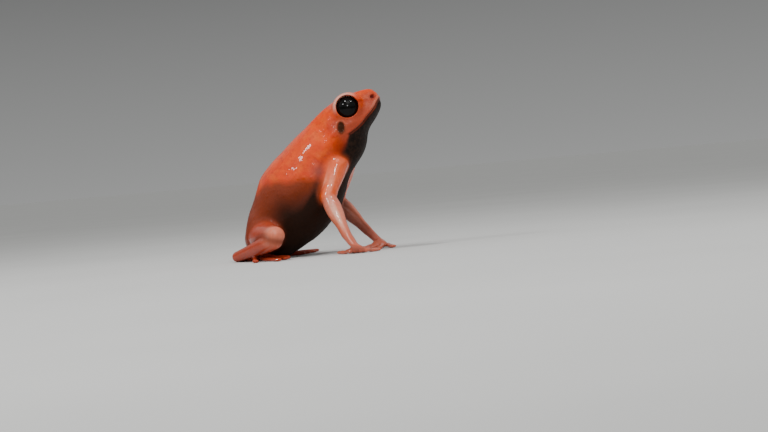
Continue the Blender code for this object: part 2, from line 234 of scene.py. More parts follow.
# Softened creases: how the names of the pieces on each side begin, reach in mm, smoothing steps.
BLENDS = [
    (("trunk",), ("upper_arm", "thigh"), 3.6, 320),
    (("trunk",), ("lid",), 1.8, 90),
    (("thigh",), ("shank",), 0.6, 12),
    (("upper_arm", "forearm"), ("forearm", "hand"), 1.3, 50),
    (("shank", "foot"), ("foot", "trunk"), 0.7, 20),
    (("hand", "foot"), ("finger", "toe"), 0.8, 24),
    (("lid",), ("rim",), 0.4, 8),
]
# How many times each mask is blurred along the skin.
MASK_BLURS = {"limb": 120, "leg": 120, "hand": 60, "forearm": 60, "lid_edge": 3}
LEAST_BLUR = 2

# Scales of the patterns in the skin's colour and surface, in cells a metre, and depths in metres.
BROAD_PATTERN = 260
PALE_SPOTS = 430
DARK_SPOTS = 760
FINE_PATTERN = 1500
WRINKLES = 900
WRINKLE_DEPTH = 0.00012
PORES = 2300
PORE_DEPTH = 0.00008

BACK_ORANGE = ((0.64, 0.04, 0.002), (0.74, 0.066, 0.004))
SPOT_PALE = (0.74, 0.115, 0.012)
SPOT_DARK = (0.38, 0.02, 0.003)
# The near-black throat brown: partly its own dark colour, partly painted shade.
THROAT_DARK_AND_SHADE = ((0.009, 0.0045, 0.003), (0.022, 0.01, 0.006))
LIMB_CORAL = ((0.8, 0.1, 0.02), (0.86, 0.15, 0.045))
EYE_BLACK = ((0.002, 0.002, 0.002), (0.004, 0.003, 0.003))
FLOOR_GREY = ((0.55, 0.55, 0.538), (0.575, 0.575, 0.563))

# Colours laid over each other in this order: mask, its share, colour.
TRUNK_TINTS = [
    # Darker cheeks, partly their own colour and partly painted shade.
    ("cheek", 0.85, (0.34, 0.058, 0.03)),
    # The next row is painted shade on the lower flanks; the one after is the dark belly, low flank and
    # chest, partly their own dark colour and partly painted shade.
    ("flank", 1, (0.22, 0.029, 0.006)),
    ("deep", 1, (0.02, 0.007, 0.003)),
]
# A greyish patch of painted shade above the armpit.
ARMPIT_SHADOW_TINTS = [("bruise", 0.55, (0.2, 0.09, 0.085))]
LIMB_TINTS = [
    ("leg", 1, (0.4, 0.043, 0.012)),
    # A painted highlight on the knee.
    ("knee", 0.9, (0.92, 0.29, 0.17)),
    ("hand", 1, (0.6, 0.13, 0.07)),
    # Painted highlight on the upper forearms.
    ("forearm", 1, (0.82, 0.24, 0.14)),
    # Painted highlight along the outer side of the arms.
    ("sheen", 1, (0.97, 0.55, 0.4)),
    # Painted shade on the limbs' inner sides, where they face the body.
    ("inner", 0.75, (0.12, 0.022, 0.009)),
    # Painted shade in the creases behind the knee, at the hip and in the armpit.
    ("fold", 0.6, (0.09, 0.015, 0.006)),
]
FACE_TINTS = [
    ("lid_edge", 1, (0.8, 0.42, 0.33)),
    ("lip", 0.4, (0.75, 0.32, 0.22)),
    ("drum_ring", 0.25, (0.6, 0.16, 0.07)),
    ("drum", 1, (0.036, 0.009, 0.001)),
    # Painted shade of the nostril's pit.
    ("nostril", 1, (0.13, 0.008, 0.006)),
    ("mouth", 1, (0.05, 0.012, 0.006)),
    # Painted shade under the ridge from the eye to the nostril.
    ("snout_fold", 1, (0.3, 0.016, 0.003)),
]
# Parts that shine less than the wet back: mask and share.
DULL_PARTS = [("throat", 1), ("drum", 1), ("fold", 0.9), ("leg", 0.45)]

# Camera: the middle of the picture lies this far to the right of and above the frog's origin
# in the part's tables, in the picture's own directions.
CAMERA_AZIMUTH = radians(10)
CAMERA_ELEVATION = radians(1.2)
CAMERA_ROLL = radians(5)
CAMERA_DISTANCE = 470.0
PICTURE_RIGHT = 18.48
PICTURE_UP = 8.87
LENS = 100
SENSOR = 36

FLOOR_RADIUS = 40
# The backdrop's tone by the sine of the height above the horizon.
SKY_TONES = [(0.0, 0.338), (0.02, 0.3), (0.15, 0.1), (0.35, 0.55), (0.6, 0.6), (0.9, 0.35)]
OVERHEAD_STRENGTH = 0.5
OVERHEAD_WIDTH = radians(30)
OVERHEAD_HEADING = (-0.15, 0.6, -1)
LAMP_TARGET = (0, 0, 0.016)
# Round lamps: name, place and width in metres, watts.
LAMPS = [
    ("key", (-0.225, -0.235, 0.29), 0.075, 0.42),
    ("front", (0.05, -0.35, 0.2), 0.07, 0.34),
    ("high_left", (-0.093, -0.11, 0.38), 0.03, 0.5),
    ("high_right", (0.178, -0.081, 0.362), 0.03, 0.4),
]


def add_object(name, data):
    """A new object in the scene."""
    obj = bpy.data.objects.new(name, data)
    bpy.context.scene.collection.objects.link(obj)
    return obj


def solid_object(name, bm):
    """An object of the closed surface in bm, with its faces turned outwards."""
    bmesh.ops.recalc_face_normals(bm, faces=bm.faces)
    mesh = bpy.data.meshes.new(name)
    bm.to_mesh(mesh)
    bm.free()
    return add_object(name, mesh)


def around(count):
    """The angles of count points spread evenly round a circle."""
    return [2 * pi * i / count for i in range(count)]


def mesh_object(name, rings, tips):
    """A closed object lofted through rings of points, with a pole or a flat cap at each end."""
    bm = bmesh.new()
    loops = [[bm.verts.new(p) for p in ring] for ring in rings]
    for lower, upper in zip(loops, loops[1:]):
        for i in range(len(lower)):
            j = (i + 1) % len(lower)
            bm.faces.new((lower[i], lower[j], upper[j], upper[i]))
    for loop, tip in zip((loops[0], loops[-1]), tips):
        if tip is None:
            bm.faces.new(loop)
            continue
        pole_vertex = bm.verts.new(tip)
        for i in range(len(loop)):
            bm.faces.new((pole_vertex, loop[i], loop[(i + 1) % len(loop)]))
    return solid_object(name, bm)


def spline(values, count):
    """count values evenly spaced along a Catmull-Rom curve through the given ones."""
    given = np.array(values, float)
    padded = np.concatenate([[2 * given[0] - given[1]], given, [2 * given[-1] - given[-2]]])
    made = []
    for t in np.linspace(0, len(given) - 1, count):
        k = min(int(t), len(given) - 2)
        f = t - k
        a, b, c, d = padded[k : k + 4]
        made.append(b + 0.5 * f * (c - a + f * (2 * a - 5 * b + 4 * c - d + f * (3 * (b - c) + d - a))))
    return np.array(made)


def oval(frame, shrink, ahead, sides):
    """One ring of a tube, made smaller and moved along it for the rounded ends."""
    centre, along, side, top, wide, high = frame
    reach = along * (min(wide, high) * ahead)
    middle = centre + reach
    return [middle + side * (wide * shrink * cos(t)) + top * (high * shrink * sin(t)) for t in around(sides)]


def tube(name, path, across, thick, up, sides=36, rings=44):
    """A limb: an oval tube along a path, with rounded ends. up is the way its thickness faces."""
    centres = [Vector(p) for p in spline(path, rings)]
    wide = spline(across, rings)
    high = spline(thick, rings)
    frames = []
    for k, centre in enumerate(centres):
        along = (centres[min(k + 1, rings - 1)] - centres[max(k - 1, 0)]).normalized()
        side = up.cross(along).normalized()
        frames.append((centre, along, side, along.cross(side), wide[k], high[k]))
    bends = [radians(a) for a in ROUND_END]
    loops = [oval(frames[0], cos(a), -sin(a), sides) for a in reversed(bends)]
    loops += [oval(frame, 1, 0, sides) for frame in frames]
    loops += [oval(frames[-1], cos(a), sin(a), sides) for a in bends]
    start, end = frames[0], frames[-1]
    tips = (start[0] - start[1] * min(start[4:]), end[0] + end[1] * min(end[4:]))
    return mesh_object(name, loops, tips)


def from_head(x, y, z):
    """A point of the head frame in the frame of the tables."""
    return MOUTH_CORNER + HEAD_AXES @ Vector((x, y, z))


def placed(point, side):
    """A point of the head frame, its Y outwards, on one side of the head."""
    x, y, z = point
    return from_head(x, side * y, z)


def facing(direction, side):
    """A direction of the head frame, its Y outwards, on one side of the head."""
    x, y, z = direction
    return (HEAD_AXES @ Vector((x, side * y, z))).normalized()


def at(point, side):
    """A point of the limbs' tables, its Y outwards, on one side of the body."""
    forward, outward, height = point
    return Vector((forward, side * outward, height))


def trunk_ring(back, belly, half_width, pear):
    """An oval ring from the back to the belly."""
    top, low = Vector((back[0], 0, back[1])), Vector((belly[0], 0, belly[1]))
    middle, half = (top + low) / 2, (top - low) / 2
    ring = []
    for t in around(RING_POINTS):
        out = abs(sin(t)) ** FLANK_FULLNESS * (1 if sin(t) >= 0 else -1)
        ring.append(middle + half * cos(t) + Vector((0, half_width * out * (1 - pear * cos(t)), 0)))
    return ring


def head_ring(x, crown, ridge, lip, jaw, throat):
    """A ring of the head through crown, ridge, lip, jaw and throat, at even angles."""
    ridge_y, ridge_z = ridge
    lip_y, lip_z = lip
    jaw_y, jaw_z = jaw
    half = [
        (0, crown),
        (0.55 * ridge_y, crown - 0.12 * (crown - ridge_z)),
        (ridge_y, ridge_z),
        (0.42 * ridge_y + 0.58 * lip_y, 0.5 * (ridge_z + lip_z)),
        (lip_y, lip_z),
        (jaw_y, jaw_z),
        (0.55 * jaw_y, 0.2 * jaw_z + 0.8 * throat),
        (0, throat),
    ]
    outline = half + [(-y, z) for y, z in half[-2:0:-1]]
    closed = outline[-2:] + outline + outline[:3]
    dense = spline(closed, RING_SAMPLES * (len(closed) - 1) + 1)
    dense = dense[2 * RING_SAMPLES : (2 + len(outline)) * RING_SAMPLES]
    middle = (crown + throat) / 2
    angle = np.unwrap(np.arctan2(dense[:, 0] / lip_y, (dense[:, 1] - middle) / (crown - middle)))
    wanted = 2 * pi * np.arange(RING_POINTS) / RING_POINTS
    angles = np.concatenate([angle - 2 * pi, angle, angle + 2 * pi])
    y = np.interp(wanted, angles, np.tile(dense[:, 0], 3))
    z = np.interp(wanted, angles, np.tile(dense[:, 1], 3))
    return [from_head(x, *p) for p in zip(y, z)]


def ellipsoid(name, centre, radii, segments=64, rows=40):
    """An ellipsoid with its axes along those of the head."""
    loops = []
    for k in range(1, rows):
        a = pi * k / rows
        circle = [(sin(a) * cos(t), -cos(a), sin(a) * sin(t)) for t in around(segments)]
        loops.append([centre + HEAD_AXES @ Vector(np.multiply(p, radii)) for p in circle])
    tips = (centre - Vector((0, radii[1], 0)), centre + Vector((0, radii[1], 0)))
    return mesh_object(name, loops, tips)


def plug(name, centre, along, radius, outward, segments=72):
    """Round rod from centre outward."""
    side = along.cross(UP).normalized()
    top = side.cross(along)
    circle = [side * (radius * cos(t)) + top * (radius * sin(t)) for t in around(segments)]
    loops = [[centre + along * reach + p for p in circle] for reach in (0, outward)]
    return mesh_object(name, loops, (None, None))


def rim(name, centre, along, radius, thickness, segments=96, sides=12):
    """The rolled edge of the lids, a ring round the eye."""
    side = along.cross(UP).normalized()
    top = side.cross(along)
    bm = bmesh.new()
    loops = []
    for t in around(segments):
        out = side * cos(t) + top * sin(t)
        middle = centre + out * radius
        ring = [middle + (out * cos(s) + along * sin(s)) * thickness for s in around(sides)]
        loops.append([bm.verts.new(p) for p in ring])
    for i in range(segments):
        near, far = loops[i], loops[(i + 1) % segments]
        for j in range(sides):
            k = (j + 1) % sides
            bm.faces.new((near[j], near[k], far[k], far[j]))
    return solid_object(name, bm)


def cut(piece, other):
    """Takes other away from piece, and uses it up."""
    change = piece.modifiers.new("cut", "BOOLEAN")
    change.operation = "DIFFERENCE"
    change.solver = "EXACT"
    change.object = other
    graph = bpy.context.evaluated_depsgraph_get()
    made = bpy.data.meshes.new_from_object(piece.evaluated_get(graph))
    piece.modifiers.remove(change)
    piece.data = made
    bpy.data.objects.remove(other)


def open_eye(piece, side):
    """Cuts the eye's socket and the opening between the lids."""
    centre = placed(EYE_CENTRE, side)
    cut(piece, ellipsoid("socket", centre, [EYE_RADIUS + SOCKET_CLEARANCE] * 3))
    cut(piece, plug("opening", centre, facing(EYE_FACING, side), EYE_OPENING, OPENING_REACH))


def build_trunk():
    """Body and head in one, from the vent to the snout."""
    trunk = [trunk_ring(*station) for station in TRUNK_STATIONS]
    head = [head_ring(*station) for station in HEAD_STATIONS]
    rings = np.array([[tuple(p) for p in ring] for ring in trunk + head])
    rings = spline(rings, RINGS_PER_SPAN * (len(rings) - 1) + 1)
    vent = Vector(rings[0].mean(0)) - VENT_REACH
    snout = from_head(SNOUT_TIP[0], 0, SNOUT_TIP[1])
    body = mesh_object("trunk", [list(map(Vector, r)) for r in rings], (vent, snout))
    for side in SIDES.values():
        open_eye(body, side)
    return body


def build_lids(name, side):
    lid = ellipsoid(f"lid_{name}", placed(LID_CENTRE, side), LID_RADII)
    open_eye(lid, side)
    along = facing(EYE_FACING, side)
    lift = (EYE_RADIUS**2 - EYE_OPENING**2) ** 0.5 + LID_RIM_OFFSET
    middle = placed(EYE_CENTRE, side) + along * lift
    edge = rim(f"rim_{name}", middle, along, EYE_OPENING + LID_RIM_OFFSET, LID_RIM_RADIUS)
    return [lid, edge]


def digit(name, root, heading, length, side):
    """A finger or toe that lies on the floor."""
    ahead = Vector((cos(radians(heading)), side * sin(radians(heading)), 0))
    path = [root + ahead * (length * share) for share in DIGIT_STATIONS]
    for k, point in enumerate(path):
        point.z = DIGIT_ROOT_HEIGHT if k < 2 else DIGIT_REST_HEIGHT
    return tube(name, path, DIGIT_ACROSS, DIGIT_THICK, UP, sides=24, rings=48)


def build_arm(name, side):
    shoulder, elbow, wrist, palm_heel, knuckles = (at(p, side) for p in ARMS[name])
    bone = [shoulder, (shoulder * 2 + elbow) / 3, (shoulder + elbow * 2) / 3, elbow]
    upper = tube(f"upper_arm_{name}", bone, UPPER_ARM_RADII, UPPER_ARM_RADII, AHEAD)
    lower = tube(f"forearm_{name}", [elbow, wrist], FOREARM_RADII, FOREARM_RADII, AHEAD)
    palm = tube(f"hand_{name}", [wrist, palm_heel, knuckles], PALM_ACROSS, PALM_THICK, UP)
    pieces = [upper, lower, palm]
    knuckle_line = Vector((sin(HAND_HEADING), side * cos(HAND_HEADING), 0))
    for number, (length, angle) in enumerate(FINGERS, 1):
        root = knuckles + knuckle_line * (FINGER_SPREAD * (number - 2.5))
        pieces.append(digit(f"finger_{number}_{name}", root, -angle, length, side))
    return pieces


def build_leg(name, side):
    hip, knee, shank_top, ankle, heel, sole_end = (
        at(p, side) for p in (HIP, KNEE, SHANK_TOP, ANKLE, HEEL, SOLE_END)
    )
    pieces = [
        tube(f"thigh_{name}", [hip, knee], THIGH_RADII, THIGH_RADII, UP),
        tube(f"shank_{name}", [shank_top, ankle], SHANK_RADII, SHANK_RADII, UP),
        tube(f"foot_{name}", [heel, heel.lerp(sole_end, 0.5), sole_end], FOOT_ACROSS, FOOT_THICK, UP),
    ]
    spread = (sole_end - heel).cross(UP).normalized() * side
    for number, (length, angle) in enumerate(TOES, 1):
        root = sole_end - spread * (TOE_SPREAD * (number - 3))
        pieces.append(digit(f"toe_{number}_{name}", root, angle, length, side))
    return pieces


def fuse(pieces):
    """One mesh over all the pieces, and for each of its points the piece that it lies on."""
    points, faces, owner = [], [], []
    for number, piece in enumerate(pieces):
        base = len(points)
        points += [tuple(v.co) for v in piece.data.vertices]
        for face in piece.data.polygons:
            faces.append([base + i for i in face.vertices])
            owner.append(number)
    joined = bpy.data.meshes.new("frog_skin")
    joined.from_pydata(points, [], faces)
    skin = add_object("frog_skin", joined)
    remesh = skin.modifiers.new("fuse", "REMESH")
    remesh.mode = "VOXEL"
    remesh.voxel_size = SKIN_CELL
    graph = bpy.context.evaluated_depsgraph_get()
    skin_mesh = bpy.data.meshes.new_from_object(skin.evaluated_get(graph))
    skin.modifiers.clear()
    skin.data = skin_mesh
    tree = BVHTree.FromPolygons(points, faces)
    names = [piece.name for piece in pieces]
    labels = np.array([owner[tree.find_nearest(v.co)[2]] for v in skin_mesh.vertices])
    for piece in pieces:
        bpy.data.objects.remove(piece)
    return skin, labels, names


def read_vectors(items, name):
    """One vector of each item, as rows."""
    flat = np.empty(len(items) * 3)
    items.foreach_get(name, flat)
    return flat.reshape(-1, 3)


def read_points(mesh):
    return read_vectors(mesh.vertices, "co")


def read_normals(mesh):
    return read_vectors(mesh.vertex_normals, "vector")


def write_points(mesh, points):
    mesh.vertices.foreach_set("co", points.astype(np.float32).ravel())
    mesh.update()


def read_edges(mesh):
    edges = np.empty(len(mesh.edges) * 2, np.int32)
    mesh.edges.foreach_get("vertices", edges)
    return edges.reshape(-1, 2)


def edge_counts(edges, count):
    """How many edges each point has, at least 1."""
    return np.maximum(np.bincount(edges.ravel(), minlength=count), 1)


def neighbour_mean(values, edges, degree):
    """The sum of each point's neighbours over the given edges, shared by its degree."""
    a, b = edges[:, 0], edges[:, 1]
    count = len(values)
    total = [np.bincount(a, col[b], count) + np.bincount(b, col[a], count) for col in values.T]
    return np.array(total).T / degree[:, None]


def relax(points, edges, weight, steps, mesh, fill_only):
    """Smooths points by their weights. With fill_only it fills creases and hardly wears edges."""
    degree = edge_counts(edges, len(points))
    active = weight > 0.001
    near = active[edges].any(1)
    edges = edges[near]
    for step in range(steps):
        move = neighbour_mean(points, edges, degree) - points
        move[~active] = 0
        if fill_only:
            if step % 20 == 0:
                write_points(mesh, points)
                normals = read_normals(mesh)
            outward = (move * normals).sum(1)
            move *= np.where(outward > 0, 1.0, WEAR)[:, None]
        points = points + move * (SMOOTHING_STEP * weight)[:, None]
    write_points(mesh, points)
    return points


def seam_weight(points, edges, labels, group_a, group_b, reach):
    """1 on the seams between two groups of pieces, falling to 0 at reach from them."""
    a, b = labels[edges[:, 0]], labels[edges[:, 1]]
    meets = (group_a[a] & group_b[b]) | (group_a[b] & group_b[a])
    seam = np.unique(edges[meets].ravel())
    if len(seam) == 0:
        return np.zeros(len(points))
    room = np.zeros(len(points))
    room[seam] = reach
    for _ in range(int(reach / SKIN_CELL) + 2):
        spread = room - SKIN_CELL
        np.maximum.at(room, edges[:, 0], spread[edges[:, 1]])
        np.maximum.at(room, edges[:, 1], spread[edges[:, 0]])
    t = np.clip(room / reach, 0, 1)
    return t * t * (3 - 2 * t)


def ramp(low, high, value):
    """0 up to low, 1 from high, and a soft step between them."""
    t = np.clip((value - low) / (high - low), 0, 1)
    return t * t * (3 - 2 * t)


def bump(value, width):
    """1 where value is 0, falling off over width on both sides."""
    return np.exp(-((value / width) ** 2))


def smooth_noise(points, scale, seed):
    """Rolling waves in several directions, between about -1 and 1."""
    random = np.random.default_rng(seed)
    total = np.zeros(len(points))
    for _ in range(WAVES):
        wave = random.normal(size=3)
        wave *= 2 * pi / (scale * np.linalg.norm(wave)) * random.uniform(0.7, 1.4)
        total += np.sin(points @ wave + random.uniform(0, 2 * pi))
    return total / (WAVES / 2)


def head_space(points):
    """Points of the tables' frame in the head frame."""
    return (points - np.array(MOUTH_CORNER)) @ np.array(HEAD_AXES)


def set_attribute(mesh, name, values):
    layer = mesh.attributes.new(name, "FLOAT", "POINT")
    layer.data.foreach_set("value", np.clip(values, 0, 1).astype(np.float32))


def fold_of_snout(x, y, z, masks):
    """A faint hollow under the ridge from the eye to the nostril, with a low roll above it and painted shade
    along the hollow.
    """
    above_fold = z - np.interp(x, *np.array(SNOUT_FOLD).T)
    on_fold = ramp(5.0, 5.8, x) * (1 - ramp(6.9, 7.7, x))
    # Painted shade in the hollow under the ridge.
    masks["snout_fold"] = 0.5 * bump(above_fold, FOLD_WIDTH) * on_fold * (y > 1)
    roll, hollow = bump(above_fold - 0.6, FOLD_WIDTH), bump(above_fold, FOLD_WIDTH)
    return (FOLD_DEPTH * roll - FOLD_DEPTH * hollow) * on_fold


def mouth_and_lips(x, z, masks):
    """The groove of the closed mouth, a roll above it and a hollow below."""
    above_mouth = z - np.interp(x, *np.array(MOUTH_LINE).T)
    on_mouth = ramp(-1.1, -0.1, x)
    groove = bump(above_mouth, MOUTH_WIDTH) * on_mouth
    upper_lip = bump(above_mouth - 0.42, 0.28) * on_mouth
    under_lip = ramp(-1.5, -0.25, above_mouth) * (1 - ramp(-0.22, 0.0, above_mouth)) * ramp(-0.6, 1.0, x)
    masks["mouth"] = groove
    return UPPER_LIP_RISE * upper_lip - MOUTH_DEPTH * groove - UNDER_LIP_DEPTH * under_lip


def nostril_pit(across, masks):
    """A pit with a low rim, and painted shade in and round it."""
    reach = np.linalg.norm((across - np.array(NOSTRIL)) * (1, 0.6, 1.15), axis=1)
    # Painted shade in and round the pit.
    masks["nostril"] = np.exp(-((reach / NOSTRIL_SHADE_RADIUS) ** 4))
    pit = np.exp(-((reach / NOSTRIL_RADIUS) ** 4))
    return NOSTRIL_RIM_RISE * bump(reach - 0.7, 0.22) - NOSTRIL_DEPTH * pit


def eardrum(across, masks):
    """A sunk upright oval with a raised ring and a dark core."""
    from_drum = across - np.array(TYMPANUM)
    ahead = from_drum[:, 0] * cos(HEAD_PITCH) - from_drum[:, 2] * sin(HEAD_PITCH)
    above = from_drum[:, 0] * sin(HEAD_PITCH) + from_drum[:, 2] * cos(HEAD_PITCH)
    ring = np.hypot(ahead / DRUM_RADII[0], above / DRUM_RADII[1])
    core = np.hypot((ahead - 0.05) / DRUM_CORE_RADII[0], (above + 0.05) / DRUM_CORE_RADII[1])
    side_of_head = across[:, 1] > 4
    masks["drum"] = (1 - ramp(0.55, 1.05, core)) * side_of_head
    masks["drum_ring"] = bump(ring - 1.15, 0.22) * side_of_head
    sunk = 1 - ramp(0.55, 0.95, ring)
    return (DRUM_RING_RISE * bump(ring - 1.05, 0.16) - DRUM_DEPTH * sunk) * side_of_head


def detail_face(points, normals, masks):
    """Mouth, lips, nostrils and eardrums, as moves along the skin's normals."""
    across = head_space(points)
    across[:, 1] = np.abs(across[:, 1])
    x, y, z = across.T
    move = fold_of_snout(x, y, z, masks) + mouth_and_lips(x, z, masks)
    move += nostril_pit(across, masks)
    move += eardrum(across, masks)
    return points + normals * move[:, None]


def lid_crescent(head):
    """The pale upper edge of the lids, strongest behind and above the eye."""
    across = np.stack([head[:, 0], np.abs(head[:, 1]), head[:, 2]], 1) - np.array(EYE_CENTRE)
    axis = np.array(EYE_FACING.normalized())
    along = across @ axis
    from_axis = np.linalg.norm(across - along[:, None] * axis, axis=1)
    upper = ramp(0.1, 2.6, across[:, 2])
    return 0.8 * bump(from_axis - 2.78, 0.46) * upper * (along > 0)


def on_pieces(names, labels, *words):
    """For each point, whether the name of the piece that it lies on holds one of the words."""
    return np.array([any(word in name for word in words) for name in names])[labels]


def trunk_masks(points, normals, head, trunk, masks):
    """Painted shade on the flanks; the dark belly, low flank and chest, partly their own dark colour and
    partly painted shade; and a patch of painted shade above the armpit.
    """
    x, y, z = points.T
    wave = smooth_noise(points, EDGE_WAVE_LENGTH, 3)
    level = z + 0.5 * wave + 0.7 * np.clip(-4.5 - x, 0, 8)
    # Painted shade on the flanks below the orange back.
    masks["flank"] = (1 - ramp(*FLANK_SHADE_EDGE, level)) * trunk
    # The dark belly, low flank and chest: partly their own dark colour, partly painted shade where the skin
    # faces down or forward.
    low_flank = (1 - ramp(*DARK_BELLY_AND_SHADE_EDGE, z + 0.5 * wave)) * ramp(-9.0, 0.5, x)
    belly = ramp(0.05, 0.75, -normals[:, 2]) * 0.6 * (1 - ramp(18, 26, z))
    forward = ramp(0.1, 0.6, normals[:, 0] - 0.3 * normals[:, 2])
    chest = forward * ramp(3, 6, x) * (1 - ramp(-4.0, -1.0, head[:, 0]))
    masks["deep"] = np.clip(low_flank + belly + chest, 0, 1) * trunk
    # A grey patch of painted shade above the armpit.
    from_armpit_shadow = np.stack([x, np.abs(y), z], 1) - ARMPIT_SHADOW
    masks["bruise"] = bump(np.linalg.norm(from_armpit_shadow, axis=1), ARMPIT_SHADOW_RADIUS)
    return wave


def band(z, strength, middle, half_width):
    return strength * bump(z - middle, half_width)


def limb_masks(points, normals, names, labels, masks):
    """The limbs, painted shade on their inner sides, and painted highlights on the arms and knees."""
    x, y, z = points.T
    limb = on_pieces(names, labels, "arm", "hand", "finger", "thigh", "shank", "foot", "toe")
    leg = on_pieces(names, labels, "thigh", "shank", "foot", "toe")
    arm = on_pieces(names, labels, "arm", "hand")
    low_arm = on_pieces(names, labels, "forearm", "hand", "finger")
    outward = normals[:, 1] * np.sign(y)
    masks["limb"] = limb
    masks["leg"] = leg
    masks["hand"] = low_arm
    # Painted shade on the limbs' inner sides, where they face the body.
    masks["inner"] = ramp(0.15, 0.8, -outward) * limb * (1 - ramp(3.0, 8.0, 8 - z))
    # Painted highlight on the upper forearm.
    masks["forearm"] = band(z, *FOREARM_HIGHLIGHT_BAND) * low_arm
    # Painted highlight along the arms' outer, upward-facing side.
    outer = ramp(0.88, 0.99, 0.1 * normals[:, 0] + 0.95 * outward + 0.28 * normals[:, 2])
    along_arm = np.maximum(*[band(z, *row) for row in PAINTED_SHEEN_BANDS])
    masks["sheen"] = outer * along_arm * arm
    # A pale painted highlight round the knee.
    from_knee_highlight = np.stack([x, np.abs(y), z], 1) - KNEE
    masks["knee"] = bump(np.linalg.norm(from_knee_highlight, axis=1), KNEE_HIGHLIGHT_RADIUS) * leg


def head_masks(head, normals, wave, trunk, rims, masks):
    """Throat, lips, cheeks that are darker partly in colour and partly by painted shade, lids, and the part
    that shines less than the back.
    """
    x, z = head[:, 0], head[:, 2]
    line = np.where(x > -0.3, np.interp(x, *np.array(MOUTH_LINE).T), -0.3)
    line = line + np.clip(-0.3 - x, 0, 6) * -0.5
    below = line - z - 0.15 * wave
    softness = 0.5 * ramp(-0.5, -3.5, x)
    # The near-black throat: partly its own dark colour, partly painted shade.
    masks["throat"] = ramp(-0.15 - softness, 0.35 + softness, below) * (x > THROAT_END) * trunk
    masks["lip"] = bump(z - line - 0.35, 0.4) * ramp(5.5, 8.5, x) * trunk
    # Cheeks that face sideways are darker, partly their own colour and partly painted shade.
    side = ramp(0.3, 0.8, np.abs(normals[:, 1]))
    masks["cheek"] = ramp(-4.0, -1.0, x) * (1 - ramp(2.5, 6.0, z)) * side * trunk
    masks["lid_edge"] = np.maximum(rims * ramp(0.4, 1.8, z - EYE_CENTRE[2]), lid_crescent(head))
    lid_top = ramp(5.5, 7.0, z) * ramp(-1.5, 0.0, x)
    masks["dry"] = ramp(-7.5, -4.0, x) * (1 - lid_top) * trunk


def tint_masks(points, normals, labels, names, masks):
    """Where the skin has which colour and shine, each from 0 to 1."""
    head = head_space(points)
    trunk = on_pieces(names, labels, "trunk", "lid", "rim")
    rims = on_pieces(names, labels, "rim")
    wave = trunk_masks(points, normals, head, trunk, masks)
    limb_masks(points, normals, names, labels, masks)
    head_masks(head, normals, wave, trunk, rims, masks)


def granules(points):
    """Heights of small round grains scattered over the body and the upper limbs."""
    random = np.random.default_rng(5)
    room = np.flatnonzero((points[:, 2] > GRAINS_ABOVE) & (head_space(points)[:, 0] < GRAINS_BEHIND))
    chosen = KDTree(GRAIN_COUNT)
    radii, heights = [], []
    for index in random.choice(room, GRAIN_COUNT, replace=False):
        chosen.insert(points[index], len(radii))
        radii.append(random.uniform(*GRAIN_RADII))
        heights.append(random.uniform(0.3, 1.0) ** 2 * GRAIN_HEIGHT)
    chosen.balance()
    lift = np.zeros(len(points))
    for index in room:
        _, grain, distance = chosen.find(points[index])
        lift[index] = heights[grain] * np.exp(-((distance / radii[grain]) ** 2))
    return lift


def soften(values, edges, count, steps):
    """Values of the points, blurred along the skin."""
    degree = edge_counts(edges, count)
    column = values.reshape(-1, 1).astype(float)
    for _ in range(steps):
        column = 0.5 * column + 0.5 * neighbour_mean(column, edges, degree)
    return column[:, 0]


def build_skin():
    """The whole skin in one mesh, with its masks as attributes."""
    pieces = [build_trunk()]
    for name, side in SIDES.items():
        pieces += build_lids(name, side)
        pieces += build_arm(name, side)
        pieces += build_leg(name, side)
    skin, labels, names = fuse(pieces)
    mesh = skin.data
    points, edges = read_points(mesh), read_edges(mesh)
    points = relax(points, edges, np.ones(len(points)), FIRST_SMOOTHING, mesh, False)

    def group(*words):
        return np.array([any(name.startswith(word) for word in words) for name in names])

    for first, second, reach, steps in BLENDS:
        weight = seam_weight(points, edges, labels, group(*first), group(*second), reach)
        points = relax(points, edges, weight, steps, mesh, True)
    normals = read_normals(mesh)
    masks = {}
    # Painted shade in the creases between thigh, shank and body, and in the armpit.
    fold = seam_weight(points, edges, labels, group("thigh"), group("shank", "trunk"), CREASE_SHADE_REACH)
    armpit = seam_weight(points, edges, labels, group("trunk"), group("upper_arm"), ARMPIT_SHADE_REACH)
    armpit *= 1 - ramp(8.5, 10.5, points[:, 0])
    armpit *= 1 - ramp(13, 17, points[:, 2])
    masks["fold"] = np.maximum(fold, armpit)
    tint_masks(points, normals, labels, names, masks)
    points = detail_face(points, normals, masks)
    calm = 1 - np.clip(masks["lid_edge"] + masks["hand"] * 0.5, 0, 1)
    waves = SKIN_WAVE_HEIGHT * smooth_noise(points, SKIN_WAVE_LENGTH, 11)
    points += normals * (waves * calm)[:, None]
    points += normals * (granules(points) * calm * (1 - masks["throat"]))[:, None]
    points[:, 2] = np.maximum(points[:, 2], 0)
    write_points(mesh, points)
    for name, values in masks.items():
        steps = MASK_BLURS.get(name, LEAST_BLUR)
        set_attribute(mesh, name, soften(np.asarray(values, float), edges, len(points), steps))
    mesh.shade_smooth()
    return skin


def build_eye(name, side):
    eye = ellipsoid(f"eye_ball_{name}", placed(EYE_CENTRE, side), [EYE_RADIUS] * 3, 96, 64)
    eye.data.shade_smooth()
    return eye


def to_row_frame(obj, shift):
    """From millimetres in the tables' frame to metres in the row frame."""
    obj.data.transform(Matrix.Translation(shift) @ Matrix.Scale(MM, 4))


